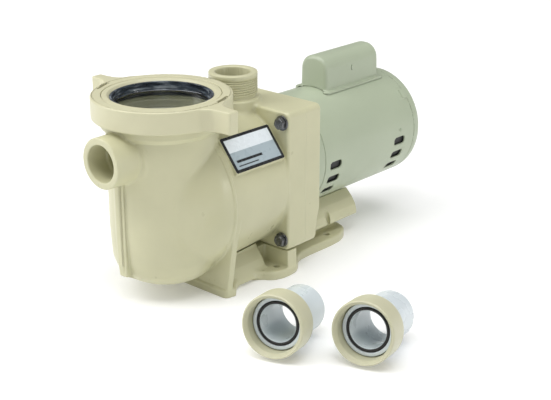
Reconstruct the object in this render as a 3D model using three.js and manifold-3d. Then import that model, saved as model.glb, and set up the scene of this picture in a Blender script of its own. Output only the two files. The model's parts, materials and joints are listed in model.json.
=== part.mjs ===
// Pool circulation pump: a strainer pot and volute casing on a moulded foot, with a
// totally closed drip-proof motor behind it and two loose pipe unions beside it.
// Millimetres. +X runs along the shaft from the suction port to the motor, +Z is up.
// X = 0 is the discharge port's axis, Y = 0 the middle plane, Z = 0 the foot's underside.
import * as THREE from 'three';
import { mergeVertices } from 'three/addons/utils/BufferGeometryUtils.js';
import Module from 'manifold-3d';

const wasm = await Module();
wasm.setup();

// ---- driving dimensions -------------------------------------------------------------
const GAP = 0.3;               // clearance kept between separate pieces
const PORT_R = 38;             // outside of a 2 inch port with its union thread
const BORE_R = 27;             // clear bore of both ports
const SUCTION_X = -271;        // suction port face
const SUCTION_Z = 231;         // suction port axis
const DISCHARGE_Z = 313;       // discharge port face
const SHAFT_Z = 154;           // shaft axis
const POT_X = -149.5;          // strainer pot axis
const POT_R = 84;              // strainer pot outside
const POT_WALL = 7;
const POT_TOP = 284;           // sealing rim of the pot
const POT_BOTTOM = 29;
const CLAMP_R = 104;           // clamp ring outside
const CLAMP_LOW = 277;
const CLAMP_TOP = 310.4;
const HANDLE_R = 146;          // reach of the clamp ring's two handles
const RIDGE_X = -121;          // crease at the front of the volute drum
const RIDGE_R = 121;
const DRUM_R = 113;            // drum where it meets the square flange
const DRUM_Z = 147;            // the drum sits a little below the shaft
const CHAMBER_R = 100;         // round chamber inside the volute
const FLANGE_X = 3;            // front face of the square flange
const FLANGE_SPLIT = 44;       // joint between casing and seal plate
const FLANGE_END = 78;         // back of the seal plate
const FLANGE_HALF = 112;
const BOLT_Y = 99;
const BOLT_Z = 95;
const MOTOR_R = 93;
const SHELL_X = 115;           // motor shell, front seam
const SHELL_END = 352;
const MOTOR_END = 377;
const SHAFT_R = 8;
const COVER_X = 188;           // capacitor cover
const COVER_END = 331;
const COVER_HALF = 31;
const COVER_TOP = 301;
const BASE_T = 14;             // foot plate thickness
const NUT_R = 45.5;            // union nut
const NUT_LENGTH = 40;
const TAIL_R = 34.5;           // union tailpiece
const TAIL_END = 107;
const UNION_BORE = 26.5;
const NUT_HEEL = 38;           // where the nut's back rim touches the ground
// Each union rests on its nut's back rim and its tailpiece's end, so it tips by this much.
const UNION_TILT = Math.atan((NUT_R - TAIL_R) / (TAIL_END - NUT_HEEL));
const UNION_A = [-221, -280, 17.5];  // open end of each nut on the ground, and its turn in degrees
const UNION_B = [-154.5, -382.5, 15.5];

// ---- materials ----------------------------------------------------------------------
const skin = (color, roughness = 0.55, metalness = 0) =>
  new THREE.MeshStandardMaterial({ color, roughness, metalness });
const almond = () => skin(0xc6c4a6, 0.45);
const enamel = () => skin(0xb3b8a2, 0.4);
const olive = () => skin(0xb4b08c, 0.4);
const black = () => skin(0x141414, 0.6);
const steel = () => skin(0xa8a9a6, 0.3, 1);
const pvc = () => skin(0xdfe6ec, 0.35);

// ---- helpers ------------------------------------------------------------------------
const V2 = (points) => points.map(([x, y]) => new THREE.Vector2(x, y));

// A closed three.js geometry as a manifold solid facing out.
function solid(geometry) {
  const bare = geometry.clone();
  for (const key of Object.keys(bare.attributes)) if (key !== 'position') bare.deleteAttribute(key);
  const merged = mergeVertices(bare, 1e-4);
  const p = merged.attributes.position.array;
  const index = merged.index.array;
  const tris = [];
  let volume = 0;
  for (let i = 0; i < index.length; i += 3) {
    const [a, b, c] = [index[i], index[i + 1], index[i + 2]];
    if (a === b || b === c || a === c) continue;
    tris.push(a, b, c);
    const [ax, ay, az, bx, by, bz, cx, cy, cz] =
      [a, b, c].flatMap((n) => [p[3 * n], p[3 * n + 1], p[3 * n + 2]]);
    volume += ax * (by * cz - bz * cy) - ay * (bx * cz - bz * cx) + az * (bx * cy - by * cx);
  }
  if (volume < 0) for (let i = 0; i < tris.length; i += 3) [tris[i], tris[i + 1]] = [tris[i + 1], tris[i]];
  return new wasm.Manifold(new wasm.Mesh({
    numProp: 3, vertProperties: new Float32Array(p), triVerts: new Uint32Array(tris) }));
}

// A manifold solid back as a geometry.
function geometryOf(body) {
  const mesh = body.getMesh();
  const g = new THREE.BufferGeometry();
  g.setAttribute('position', new THREE.BufferAttribute(new Float32Array(mesh.vertProperties), 3));
  g.setIndex(Array.from(mesh.triVerts));
  g.computeVertexNormals();
  return g;
}

const moved = (geometry, x, y, z) => geometry.translate(x, y, z);
const box = (x0, x1, y0, y1, z0, z1) => moved(new THREE.BoxGeometry(x1 - x0, y1 - y0, z1 - z0),
  (x0 + x1) / 2, (y0 + y1) / 2, (z0 + z1) / 2);
// Turned shapes: profile points are [radius, height along the axis].
const turned = (profile, segments = 48) => new THREE.LatheGeometry(V2(profile), segments);
const upright = (profile, segments, x = 0, y = 0) =>
  moved(turned(profile, segments).rotateX(Math.PI / 2), x, y, 0);
const alongX = (profile, segments, z = SHAFT_Z, y = 0) =>
  moved(turned(profile, segments).rotateZ(-Math.PI / 2), 0, y, z);
const alongY = (profile, segments, x, z) => moved(turned(profile, segments), x, 0, z);
const rod = (r, a, b) => [[0, a], [r, a], [r, b], [0, b]];
const tube = (r, R, a, b) => [[r, a], [R, a], [R, b], [r, b], [r, a]];
const ringProfile = (r, tubeR, h, n = 6) => Array.from({ length: n + 1 }, (_, i) => {
  const t = 2 * Math.PI * (i % n) / n;
  return [r + tubeR * Math.cos(t), h + tubeR * Math.sin(t)];
});

function join(...geometries) {
  return geometries.map((g) => (g.getMesh ? g : solid(g))).reduce((a, b) => a.add(b));
}
function cut(body, ...tools) {
  return tools.reduce((a, t) => a.subtract(t.getMesh ? t : solid(t)), body.getMesh ? body : solid(body));
}

// A rectangle with round corners, as a shape in its own plane.
function roundedRect(x0, x1, y0, y1, r) {
  const s = new THREE.Shape();
  s.moveTo(x0 + r, y0);
  s.lineTo(x1 - r, y0); s.absarc(x1 - r, y0 + r, r, -Math.PI / 2, 0);
  s.lineTo(x1, y1 - r); s.absarc(x1 - r, y1 - r, r, 0, Math.PI / 2);
  s.lineTo(x0 + r, y1); s.absarc(x0 + r, y1 - r, r, Math.PI / 2, Math.PI);
  s.lineTo(x0, y0 + r); s.absarc(x0 + r, y0 + r, r, Math.PI, 1.5 * Math.PI);
  return s;
}
function blockShape(points) {
  const s = new THREE.Shape();
  points.forEach(([a, b], i) => (i ? s.lineTo(a, b) : s.moveTo(a, b)));
  return s;
}
const slab = (shape, depth, curveSegments = 2) =>
  new THREE.ExtrudeGeometry(shape, { depth, bevelEnabled: false, curveSegments });
// A shape drawn as (Y, Z), pushed along +X from x0 to x1.
const slabX = (shape, x0, x1, curveSegments) => slab(shape, x1 - x0, curveSegments)
  .applyMatrix4(new THREE.Matrix4().set(0, 0, 1, x0, 1, 0, 0, 0, 0, 1, 0, 0, 0, 0, 0, 1));
// A shape drawn as (X, Y), raised from z0 to z1.
const slabZ = (shape, z0, z1, curveSegments) => moved(slab(shape, z1 - z0, curveSegments), 0, 0, z0);

const object = new THREE.Group();
function put(parent, name, geometry, material) {
  const mesh = new THREE.Mesh(geometry.getMesh ? geometryOf(geometry) : geometry, material);
  mesh.name = name;
  parent.add(mesh);
  return mesh;
}
function groupAt(parent, x, y, z, rx = 0, ry = 0, rz = 0) {
  const g = new THREE.Group();
  g.position.set(x, y, z);
  g.rotation.set(rx, ry, rz);
  parent.add(g);
  return g;
}
const shaftLine = groupAt(object, 0, 0, SHAFT_Z, 0, 0, -Math.PI / 2); // local +Y runs along the shaft
const potLine = groupAt(object, POT_X, 0, 0, Math.PI / 2);            // local +Y runs up the pot's axis

// ---- casing: strainer pot, volute, ports and front half of the square flange ----------
const DRUM_FRONT = [[0, -194], [66, -194], [84, -184.5], [99, -170.5], [110, -154], [117, -138],
  [RIDGE_R, RIDGE_X]];
const drumRadius = (x) => RIDGE_R + (DRUM_R - RIDGE_R) * (x - RIDGE_X) / (FLANGE_X - RIDGE_X);

function potOutside() {
  return upright([[0, POT_BOTTOM], [46, POT_BOTTOM], [63, 33.5], [75, 44], [81.5, 62],
    [POT_R, 190], [POT_R, 258], [91.5, 264], [91.5, POT_TOP], [0, POT_TOP]], 30, POT_X);
}
function potInside() {
  const r = POT_R - POT_WALL;
  return upright([[0, 38], [52, 38], [70, 52], [74.5, 76], [r, 190], [r, POT_TOP + 1],
    [0, POT_TOP + 1]], 22, POT_X);
}
function flangeShape(r = 7) {
  return roundedRect(-FLANGE_HALF, FLANGE_HALF, SHAFT_Z - FLANGE_HALF, SHAFT_Z + FLANGE_HALF, r);
}
function casing() {
  const drum = alongX([...DRUM_FRONT, [DRUM_R, FLANGE_X], [0, FLANGE_X]], 30, DRUM_Z);
  const suction = alongX([[0, SUCTION_X], [PORT_R - 1.5, SUCTION_X], [PORT_R, SUCTION_X + 1.5],
    [PORT_R, -228], [43, -222], [43, -200], [0, -200]], 22, SUCTION_Z);
  const discharge = upright([[0, 240], [42, 240], [42, 272], [36, 277], [PORT_R, 279],
    [PORT_R, DISCHARGE_Z - 1.5], [PORT_R - 1.5, DISCHARGE_Z], [0, DISCHARGE_Z]], 22);
  const rib = box(POT_X - POT_R - 3, POT_X - POT_R + 10, -5, 5, 52, 200);
  const drains = [[POT_X, 52, 60, 86], [-60, 96, 90, 112]].map(([x, z, y0, y1]) =>
    alongY(rod(13, y0, y1), 12, x, z));
  let body = join(drum, potOutside(), suction, discharge, rib, ...drains,
    slabX(flangeShape(), FLANGE_X, FLANGE_SPLIT));
  const chamber = cut(alongX(rod(CHAMBER_R, -112, FLANGE_SPLIT + 1), 26),
    upright(rod(POT_R, 0, 300), 30, POT_X));
  body = cut(body, chamber, potInside(),
    alongX(rod(BORE_R, SUCTION_X - 1, -180), 16, SUCTION_Z),
    upright(rod(BORE_R, 235, DISCHARGE_Z + 1), 16),
    alongX(rod(31, -110, -50), 16),
    alongY(rod(8.3, 50, 90), 10, POT_X, 52), alongY(rod(8.3, 80, 120), 10, -60, 96));
  const bolts = [-1, 1].flatMap((sy) => [-1, 1].map((sz) =>
    alongX(rod(6, FLANGE_X - 30, FLANGE_SPLIT + 1), 8, SHAFT_Z + sz * BOLT_Z, sy * BOLT_Y)));
  const seats = [-1, 1].flatMap((sy) => [-1, 1].map((sz) =>
    alongX(rod(14, FLANGE_X - 34, FLANGE_X), 12, SHAFT_Z + sz * BOLT_Z, sy * BOLT_Y)));
  return cut(body, ...bolts, ...seats);
}
// The casing is one moulding. It is kept as five bonded parts, so that each stays a simple shape.
function potRegion(extra) {
  const r = POT_R + 0.2 + extra;
  return join(upright([[0, 20], [92 + extra, 20], [92 + extra, 100], [r, 108], [r, 256],
    [92 + extra, 262], [92 + extra, 290], [0, 290]], 30, POT_X),
    box(-300, -200 + extra, -110, 110, 0, 300));
}
const whole = casing();
const ahead = box(-300, -237, -60, 60, 150, 300);
const neck = (extra) => box(-50, 50, -50, 50, 270 - extra, 330);
const behind = (extra) => box(FLANGE_X - extra, 60, -130, 130, 20, 300);
put(object, 'suction_neck', whole.intersect(solid(ahead)), almond());
put(object, 'strainer_pot', cut(whole.intersect(potRegion(0)), moved(ahead.clone(), GAP, 0, 0)), almond());
const outer = cut(whole, potRegion(GAP));
put(object, 'discharge_neck', outer.intersect(solid(neck(0))), almond());
put(object, 'volute_flange', cut(outer.intersect(solid(behind(0))), neck(GAP)), almond());
put(object, 'volute', cut(outer, neck(GAP), behind(GAP)), almond());

// ---- seal plate inside the volute, and the motor bracket that is the flange's back half ---
function sealPlate() {
  return cut(alongX(rod(CHAMBER_R - 0.5, -8, FLANGE_SPLIT), 26), alongX(rod(94, 14, FLANGE_SPLIT + 1), 26),
    alongX(rod(17, -9, 6), 22), alongX(rod(11, -9, 15), 22), alongX(tube(95.1, 105, 4, 9.6), 26));
}
function motorBracket() {
  const bolts = [-1, 1].flatMap((sy) => [-1, 1].map((sz) =>
    alongX(rod(5.3, FLANGE_SPLIT, 73), 8, SHAFT_Z + sz * BOLT_Z, sy * BOLT_Y)));
  const heel = slab(blockShape([[FLANGE_END - 12, 30], [FLANGE_END - 5, 80], [FLANGE_END + 1, 100],
    [FLANGE_END + 1, 30]]), 240).rotateX(Math.PI / 2).translate(0, 120, 0);
  return cut(slabX(flangeShape(), FLANGE_SPLIT + GAP, FLANGE_END),
    alongX(rod(88, FLANGE_SPLIT, FLANGE_END + 1), 22), heel, ...bolts);
}
put(object, 'seal_plate', sealPlate(), almond());
put(object, 'motor_bracket', motorBracket(), almond());
put(shaftLine, 'casing_oring', turned(ringProfile(97.4, 1.9, 6.8), 26), black());
put(shaftLine, 'seal_seat', turned(tube(10.5, 16.6, -4, 5.6), 16), skin(0xe8e4da, 0.3));

// ---- diffuser around the impeller ------------------------------------------------------
function diffuser() {
  return turned([[31.5, -62], [94, -62], [96, -58], [96, -13], [90, -13], [90, -55], [31.5, -55],
    [31.5, -62]], 22);
}
put(shaftLine, 'diffuser', diffuser(), skin(0x2a2b2c, 0.5));
put(shaftLine, 'wear_ring', turned(tube(26, 30.7, -74, -55), 16), skin(0x8d8f8c, 0.4));

// ---- rotor: shaft, impeller, seal head, rotor core, fan -------------------------------
const rotor = groupAt(shaftLine, 0, 0, 0);
put(rotor, 'motor_shaft', turned([[0, -50], [5, -50], [SHAFT_R, -46], [SHAFT_R, 356], [0, 356]], 12),
  steel());
function impeller() {
  const vanes = Array.from({ length: 5 },
    (_, i) => box(14, 60, -41.5, -29, -2, 2).rotateY(i * Math.PI * 0.4));
  const disc = turned([[9, -46], [15, -46], [17, -30], [62, -30], [62, -25], [17, -25], [15, -20],
    [9, -20], [9, -46]], 18);
  const shroud = turned([[27, -48], [30, -48], [62, -42], [62, -38], [27, -44], [27, -48]], 18);
  return join(disc, shroud, ...vanes);
}
put(rotor, 'impeller', impeller(), skin(0x26282a, 0.45));
put(rotor, 'seal_head', turned([[8.6, -19], [15, -19], [15, -9], [12, -5], [8.6, -5], [8.6, -19]], 14),
  skin(0x3a3a3c, 0.35, 0.6));
put(rotor, 'rotor_core', turned(tube(SHAFT_R + GAP, 48, 195, 257), 16), skin(0x6f6f70, 0.4, 0.9));
function fan() {
  const hub = turned(tube(SHAFT_R + GAP, 18, 306, 322), 12);
  const blades = Array.from({ length: 8 },
    (_, i) => box(16, 62, 306, 321, -1.2, 1.2).rotateY(i * Math.PI / 4));
  return join(hub, turned(tube(16, 62, 321, 323), 16), ...blades);
}
put(rotor, 'cooling_fan', fan(), skin(0x30332e, 0.6));

// ---- motor -----------------------------------------------------------------------------
put(shaftLine, 'motor_front_bell', turned([[20.6, 78.3], [MOTOR_R - 4, 78.3], [MOTOR_R - 0.6, 82],
  [MOTOR_R - 0.6, SHELL_X - GAP], [84, SHELL_X - GAP], [84, 88], [30, 88], [28, 112], [20.6, 112],
  [20.6, 78.3]], 26), enamel());
put(shaftLine, 'front_bearing', turned(tube(SHAFT_R + GAP, 20.3, 92, 107), 14), steel());
const VENT_ANGLES = [-6, -22, -38];
const VENT = [[-14, -3], [-10.5, -6.5], [10.5, -6.5], [14, -3],
  [14, 3], [10.5, 6.5], [-10.5, 6.5], [-14, 3]];
function motorShell() {
  const shell = turned([[90, SHELL_X], [MOTOR_R, SHELL_X], [MOTOR_R, SHELL_END], [90, SHELL_END],
    [90, SHELL_X]], 36);
  const vents = [];
  for (const x of [142, 312]) {
    for (const a of VENT_ANGLES.flatMap((d) => [d, 180 - d])) {
      vents.push(slab(blockShape(VENT), 20).applyMatrix4(ventPlace(x, a)));
    }
  }
  return cut(shell, ...vents);
}
// Places a slot with its length along the shaft and its depth along the radius at an angle.
function ventPlace(x, degrees) {
  const t = degrees * Math.PI / 180;
  const out = new THREE.Vector3(Math.cos(t), 0, Math.sin(t));
  const along = new THREE.Vector3(0, 1, 0);
  const side = new THREE.Vector3().crossVectors(out, along);
  const middle = out.clone().multiplyScalar(82).setY(x);
  return new THREE.Matrix4().makeBasis(along, side.negate(), out).setPosition(middle);
}
put(shaftLine, 'motor_shell', motorShell(), enamel());
for (const [name, x] of [['front', 119], ['rear', 289]]) {
  put(shaftLine, 'air_baffle_' + name, turned(tube(88.4, 89.4, x, x + 46), 24), skin(0x161616, 0.7));
}
put(shaftLine, 'stator', turned(tube(49, 89.6, 195, 257), 18), skin(0x77736a, 0.5, 0.7));
put(shaftLine, 'rear_bell', turned([[20.6, 330], [28, 330], [30, 344], [84, 344], [89.6, 338],
  [89.6, 351], [20.6, 351], [20.6, 330]], 22), enamel());
put(shaftLine, 'rear_bearing', turned(tube(SHAFT_R + GAP, 20.3, 333, 348), 14), steel());
const SCREW_R = 68;
function rearCover() {
  const cover = turned([[0, MOTOR_END], [74, MOTOR_END], [83, 374.5], [89.5, 369], [MOTOR_R, 361],
    [MOTOR_R, SHELL_END + GAP], [90, SHELL_END + GAP], [90, 361], [86, 367], [80, 371], [0, 372]], 26);
  const holes = [45, 135, 225, 315].map((d) => turned(rod(2.7, 360, 380), 8)
    .translate(SCREW_R * Math.cos(d * Math.PI / 180), 0, SCREW_R * Math.sin(d * Math.PI / 180)));
  return cut(cover, ...holes);
}
put(shaftLine, 'rear_cover', rearCover(), enamel());
[45, 135, 225, 315].forEach((d, i) => put(shaftLine, 'rear_screw_' + (i + 1),
  turned([[0, 356], [2.4, 356], [2.4, MOTOR_END + GAP], [5.4, MOTOR_END + GAP], [5.4, 380.4],
    [4, 381.4], [0, 381.4]], 8).translate(SCREW_R * Math.cos(d * Math.PI / 180), 0,
    SCREW_R * Math.sin(d * Math.PI / 180)), steel()));
put(object, 'cable_inlet', alongY([[9, 93.6], [16, 93.6], [16, 97], [13, 97], [13, 106], [9, 106],
  [9, 93.6]],
  12, 338, 150), skin(0x2b2b2b, 0.6));

// ---- capacitor and its cover on top of the motor ---------------------------------------
function coverShape(half, top, low, r) {
  const s = new THREE.Shape();
  s.moveTo(-half, low); s.lineTo(half, low); s.lineTo(half, top - r);
  s.absarc(half - r, top - r, r, 0, Math.PI / 2);
  s.absarc(-half + r, top - r, r, Math.PI / 2, Math.PI);
  return s;
}
function capacitorCover() {
  const low = SHAFT_Z + 84;
  const lip = slabX(coverShape(COVER_HALF + 5, low + 8, low, 1), COVER_X - 5, COVER_END + 5, 1);
  const shell = slabX(coverShape(COVER_HALF, COVER_TOP, low, 20), COVER_X, COVER_END, 6);
  const room = slabX(coverShape(COVER_HALF - 3, COVER_TOP - 3, low - 1, 18), COVER_X + 3, COVER_END - 3, 6);
  return cut(join(lip, shell), room, alongX(rod(MOTOR_R + GAP, 100, 360), 36));
}
put(object, 'capacitor_cover', capacitorCover(), enamel());
put(object, 'capacitor', alongX([[0, 202], [20, 202], [22, 204], [22, 300], [20, 302], [7, 302],
  [7, 308], [0, 308]], 12, 272), skin(0x9ea3a3, 0.3, 0.8));
put(object, 'capacitor_strap', cut(slabX(coverShape(26, 296.4, 248.6, 22), 246, 258, 6),
  alongX(rod(22.3, 240, 264), 12, 272)), skin(0x8f9492, 0.4, 0.9));
[COVER_X + 30, COVER_END - 30].forEach((x, i) => put(object, 'cover_screw_' + (i + 1),
  alongY([[0, 31.3], [4.2, 31.3], [4.2, 33], [3, 34], [0, 34]], 8, x, 262), steel()));

// ---- foot --------------------------------------------------------------------------------
function baseOutline() {
  const half = [[-122, 97], [-104, 101], [-96, 94], [-76, 78], [-55, 75], [-36, 90], [-24, 105], [-5, 112],
    [20, 111], [38, 102], [52, 90], [76, 84], [144, 84], [173, 80], [196, 67], [206, 46]];
  const s = new THREE.Shape();
  half.forEach(([x, y], i) => (i ? s.lineTo(x, -y) : s.moveTo(x, -y)));
  half.slice().reverse().forEach(([x, y]) => s.lineTo(x, y));
  return s;
}
const mirrored = (points) => [...points, ...points.slice().reverse().map(([y, z]) => [-y, z])];
const FOOT_HOLES = [[-3, 93], [151, 67]].flatMap(([x, y]) => [[x, -y], [x, y]]);
function foot() {
  const apron = slabX(blockShape(mirrored([[-116, 140], [-112, 110], [-98, 10]])), -117, -109);
  const cradle = slabX(blockShape(mirrored([[-88, 10], [-76, 28], [-64, 44], [-58, 60]])), -112, -16);
  const pedestal = slabX(blockShape(mirrored([[-112, 10], [-111, 41.7]])), 3, 24);
  const web = slabX(blockShape(mirrored([[-62, 10], [-62, 41.7]])), -20, 66);
  const saddle = slabX(blockShape(mirrored([[-46, 10], [-46, 31], [-71, 31], [-71, 37], [-68, 48], [-60, 60],
    [-46, 74]])), 79, 226);
  const body = join(slabZ(baseOutline(), 0, BASE_T), apron, cradle, pedestal, web, saddle);
  const drumClear = alongX([...DRUM_FRONT.map(([r, x]) => [r && r + 1.5, x]), [DRUM_R + 1.5, FLANGE_X + GAP],
    [0, FLANGE_X + GAP]], 30, DRUM_Z);
  const overhang = box(194, 240, -60, 60, BASE_T + 0.1, 31);
  const under = [[-104, -58, 18], [-50, -14, 18], [14, 58, 30], [90, 186, 40]].flatMap(([a, b, h]) =>
    [[-40, -6], [6, 40]].map(([c, d]) => box(a, b, c, d, -1, h)));
  return cut(body, drumClear, alongX(rod(MOTOR_R + 0.5, 60, 240), 36),
    upright([[0, 24], [50, 24], [76, 36], [83, 60], [85, 190], [0, 190]], 30, POT_X),
    overhang, ...under, ...FOOT_HOLES.map(([x, y]) => upright(rod(5, -1, BASE_T + 30), 10, x, y)));
}
put(object, 'foot', foot(), almond());

// ---- flange bolts with their washers --------------------------------------------------------
[[-1, 1], [1, 1], [-1, -1], [1, -1]].forEach(([sy, sz], i) => {
  const at = groupAt(object, 0, sy * BOLT_Y, SHAFT_Z + sz * BOLT_Z, 0, 0, -Math.PI / 2);
  put(at, 'flange_washer_' + (i + 1), turned(tube(5.3, 11.5, FLANGE_X - 2.3, FLANGE_X - GAP), 12),
    skin(0x2b2c2c, 0.4, 0.8));
  const shank = turned(rod(4.9, FLANGE_X - 3, 71), 8);
  const head = moved(new THREE.CylinderGeometry(9.6, 9.6, 7, 6), 0, FLANGE_X - 6.1, 0);
  put(at, 'flange_bolt_' + (i + 1), join(head, shank), skin(0x2b2c2c, 0.35, 0.85));
});

// ---- name plate on the drum ------------------------------------------------------------------
function namePlate() {
  const [x0, x1] = [-108, 0];
  const shell = alongX([[drumRadius(x0) + GAP, x0], [drumRadius(x0) + 1.2, x0], [drumRadius(x1) + 1.2, x1],
    [drumRadius(x1) + GAP, x1], [drumRadius(x0) + GAP, x0]], 96, DRUM_Z);
  const [a, b] = [25, 54].map((d) => d * Math.PI / 180);
  const wedge = slabX(blockShape([[0, DRUM_Z], [-150 * Math.cos(a), DRUM_Z + 150 * Math.sin(a)],
    [-150 * Math.cos(b), DRUM_Z + 150 * Math.sin(b)]]), x0 - 1, x1 + 1);
  return cut(solid(shell).intersect(solid(wedge)), upright(rod(POT_R + GAP, 200, 290), 30, POT_X));
}
put(object, 'name_plate', namePlate(), skin(0xcfd8dd, 0.35));

// ---- drain plugs on the far side ----------------------------------------------------------------
function drainPlug(x, z, y) {
  const at = groupAt(object, x, y, z);
  return (n) => {
    put(at, 'drain_plug_' + n, join(turned(rod(7.9, -9, 4), 10),
      moved(new THREE.CylinderGeometry(13, 13, 4, 16), 0, 5.3, 0),
      moved(new THREE.BoxGeometry(22, 9, 5), 0, 11, 0)), skin(0x2f302f, 0.5));
    put(at, 'drain_oring_' + n, turned(ringProfile(10, 1.3, 1.6, 6), 12), black());
  };
}
drainPlug(POT_X, 52, 86)('pot');
drainPlug(-60, 96, 112)('volute');

// ---- strainer basket ---------------------------------------------------------------------------
function basket() {
  const cup = upright([[0, 92], [57, 92], [70, 262], [74, 262], [74, 266], [67, 266], [54, 95.5],
    [0, 95.5]], 22);
  const slots = [];
  for (let i = 0; i < 12; i++) {
    slots.push(box(50, 80, -4, 4, 110, 240).rotateZ((i + 0.5) * Math.PI / 6));
  }
  return cut(cup, ...slots);
}
// The bail handle lies folded against the inside of the rim.
const bail = cut(upright(tube(61, 67.6, 258, 264), 22), box(-80, 80, -80, 0, 250, 270));
put(groupAt(object, POT_X, 0, 0), 'strainer_basket', join(basket(), bail), skin(0xd8d4bf, 0.5));

// ---- lid, its seal, and the two rings that clamp it ----------------------------------------------
put(potLine, 'lid_oring', turned(ringProfile(80, 1.8, 286.1), 26), black());
put(potLine, 'strainer_lid', turned([[0, 288.3], [85, 288.3], [85, 294], [76, 295], [76, 307], [72.5, 307],
  [72.5, 293], [0, 293]], 26), skin(0xb8c4c8, 0.1));
put(potLine, 'clamp_inner_ring', turned([[76.4, 295.4], [87, 294.4], [87.4, 309.6], [77.5, 309.6],
  [76.4, 307],
  [76.4, 295.4]], 40), almond());
function handle(sign) {
  const s = new THREE.Shape();
  s.moveTo(-38, sign * 92); s.lineTo(-14, sign * 106); s.lineTo(-9, sign * 116);
  s.lineTo(-5, sign * HANDLE_R);
  s.lineTo(7, sign * HANDLE_R); s.lineTo(12, sign * 116); s.lineTo(36, sign * 92);
  return slabZ(s, CLAMP_LOW, CLAMP_TOP);
}
function clampRing() {
  const ring = upright([[88.2, 303.5], [88.2, CLAMP_TOP], [102, CLAMP_TOP], [CLAMP_R, 308],
    [CLAMP_R, CLAMP_LOW],
    [94, CLAMP_LOW], [94, 303.5], [88.2, 303.5]], 36);
  const slots = [-69, 111].map((d) => box(94, 98.6, -18, 18, 296, 312).rotateZ(d * Math.PI / 180));
  const clear = upright(rod(94, CLAMP_LOW - 1, 303.5), 40);
  const opening = upright(rod(88.2, 300, 312), 40);
  return cut(join(ring, cut(handle(-1), clear), cut(handle(1), clear)), ...slots, opening);
}
put(groupAt(object, POT_X, 0, 0), 'clamp_ring', clampRing(), almond());

// ---- pipe unions: nut, tailpiece and seal -------------------------------------------------------------
function unionHalf([x, y, turn], n) {
  const z = NUT_R * Math.cos(UNION_TILT) + NUT_HEEL * Math.sin(UNION_TILT) + 0.02;
  const turnedOut = groupAt(object, x, y, z, 0, 0, turn * Math.PI / 180 - Math.PI / 2);
  const at = groupAt(turnedOut, 0, 0, 0, -UNION_TILT);
  put(at, 'union_tailpiece_' + n, turned([[UNION_BORE, 21], [27, 20], [27, 24.5], [32, 24.5], [32, 20],
    [37.2, 20], [37.2, 33], [TAIL_R, 34.5], [TAIL_R, TAIL_END], [31, TAIL_END], [30.4, 64], [UNION_BORE, 60],
    [UNION_BORE, 21]], 22), pvc());
  put(at, 'union_nut_' + n, turned([[38.6, 6], [42.6, 0.6], [NUT_R - 1.5, 0], [NUT_R, 3], [NUT_R, NUT_HEEL],
    [NUT_R - 3, NUT_LENGTH], [35.2, NUT_LENGTH], [35.2, 34.9], [38.6, 33.6], [38.6, 6]], 26), olive());
  put(at, 'union_oring_' + n, turned(ringProfile(29.5, 2.1, 22), 22), black());
}
unionHalf(UNION_A, 1);
unionHalf(UNION_B, 2);

export default object;
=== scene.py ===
"""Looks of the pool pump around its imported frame.

Shapes are worked out in millimetres, as distance fields or turned profiles, and made in metres.
X runs along the motor's shaft from the suction port, Y across it, and Z up.
"""
import json
from math import acos, ceil, cos, hypot, pi, radians, sin, tan
import bpy
import numpy as np
from mathutils import Matrix, Vector


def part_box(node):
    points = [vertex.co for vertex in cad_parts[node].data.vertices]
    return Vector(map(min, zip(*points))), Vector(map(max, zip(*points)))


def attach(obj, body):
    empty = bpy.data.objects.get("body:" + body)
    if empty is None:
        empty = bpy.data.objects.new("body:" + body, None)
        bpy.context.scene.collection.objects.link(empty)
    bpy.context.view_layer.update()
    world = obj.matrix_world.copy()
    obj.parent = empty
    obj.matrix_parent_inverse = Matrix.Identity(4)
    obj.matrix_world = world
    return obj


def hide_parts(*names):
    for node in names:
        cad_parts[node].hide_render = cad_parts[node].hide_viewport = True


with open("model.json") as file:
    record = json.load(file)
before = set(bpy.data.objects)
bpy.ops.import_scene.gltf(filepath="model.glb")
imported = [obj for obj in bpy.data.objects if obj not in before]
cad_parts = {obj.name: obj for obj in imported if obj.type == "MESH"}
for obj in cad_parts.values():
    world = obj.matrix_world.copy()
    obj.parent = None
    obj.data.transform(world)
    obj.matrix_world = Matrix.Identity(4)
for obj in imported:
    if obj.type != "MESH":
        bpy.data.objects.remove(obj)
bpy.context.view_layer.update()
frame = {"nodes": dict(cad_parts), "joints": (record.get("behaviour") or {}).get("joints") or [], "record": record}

# ---- anchors, read from the frame ----

MM = 1000  # in a metre


def span(node):
    """A CAD node's lowest and highest corners, in millimetres."""
    low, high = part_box(node)
    return np.array(low) * MM, np.array(high) * MM


CASING = ("strainer_pot", "suction_neck", "volute", "discharge_neck", "volute_flange")
BASKET_LOW, BASKET_HIGH = span("strainer_basket")
SHELL_LOW, SHELL_HIGH = span("motor_shell")
PLATE_HIGH = span("motor_bracket")[1]
RING_LOW, RING_HIGH = span("clamp_ring")
COVER_LOW, COVER_HIGH = span("capacitor_cover")
REAR_LOW, REAR_HIGH = span("rear_cover")
FOOT_LOW, FOOT_HIGH = span("foot")

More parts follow.
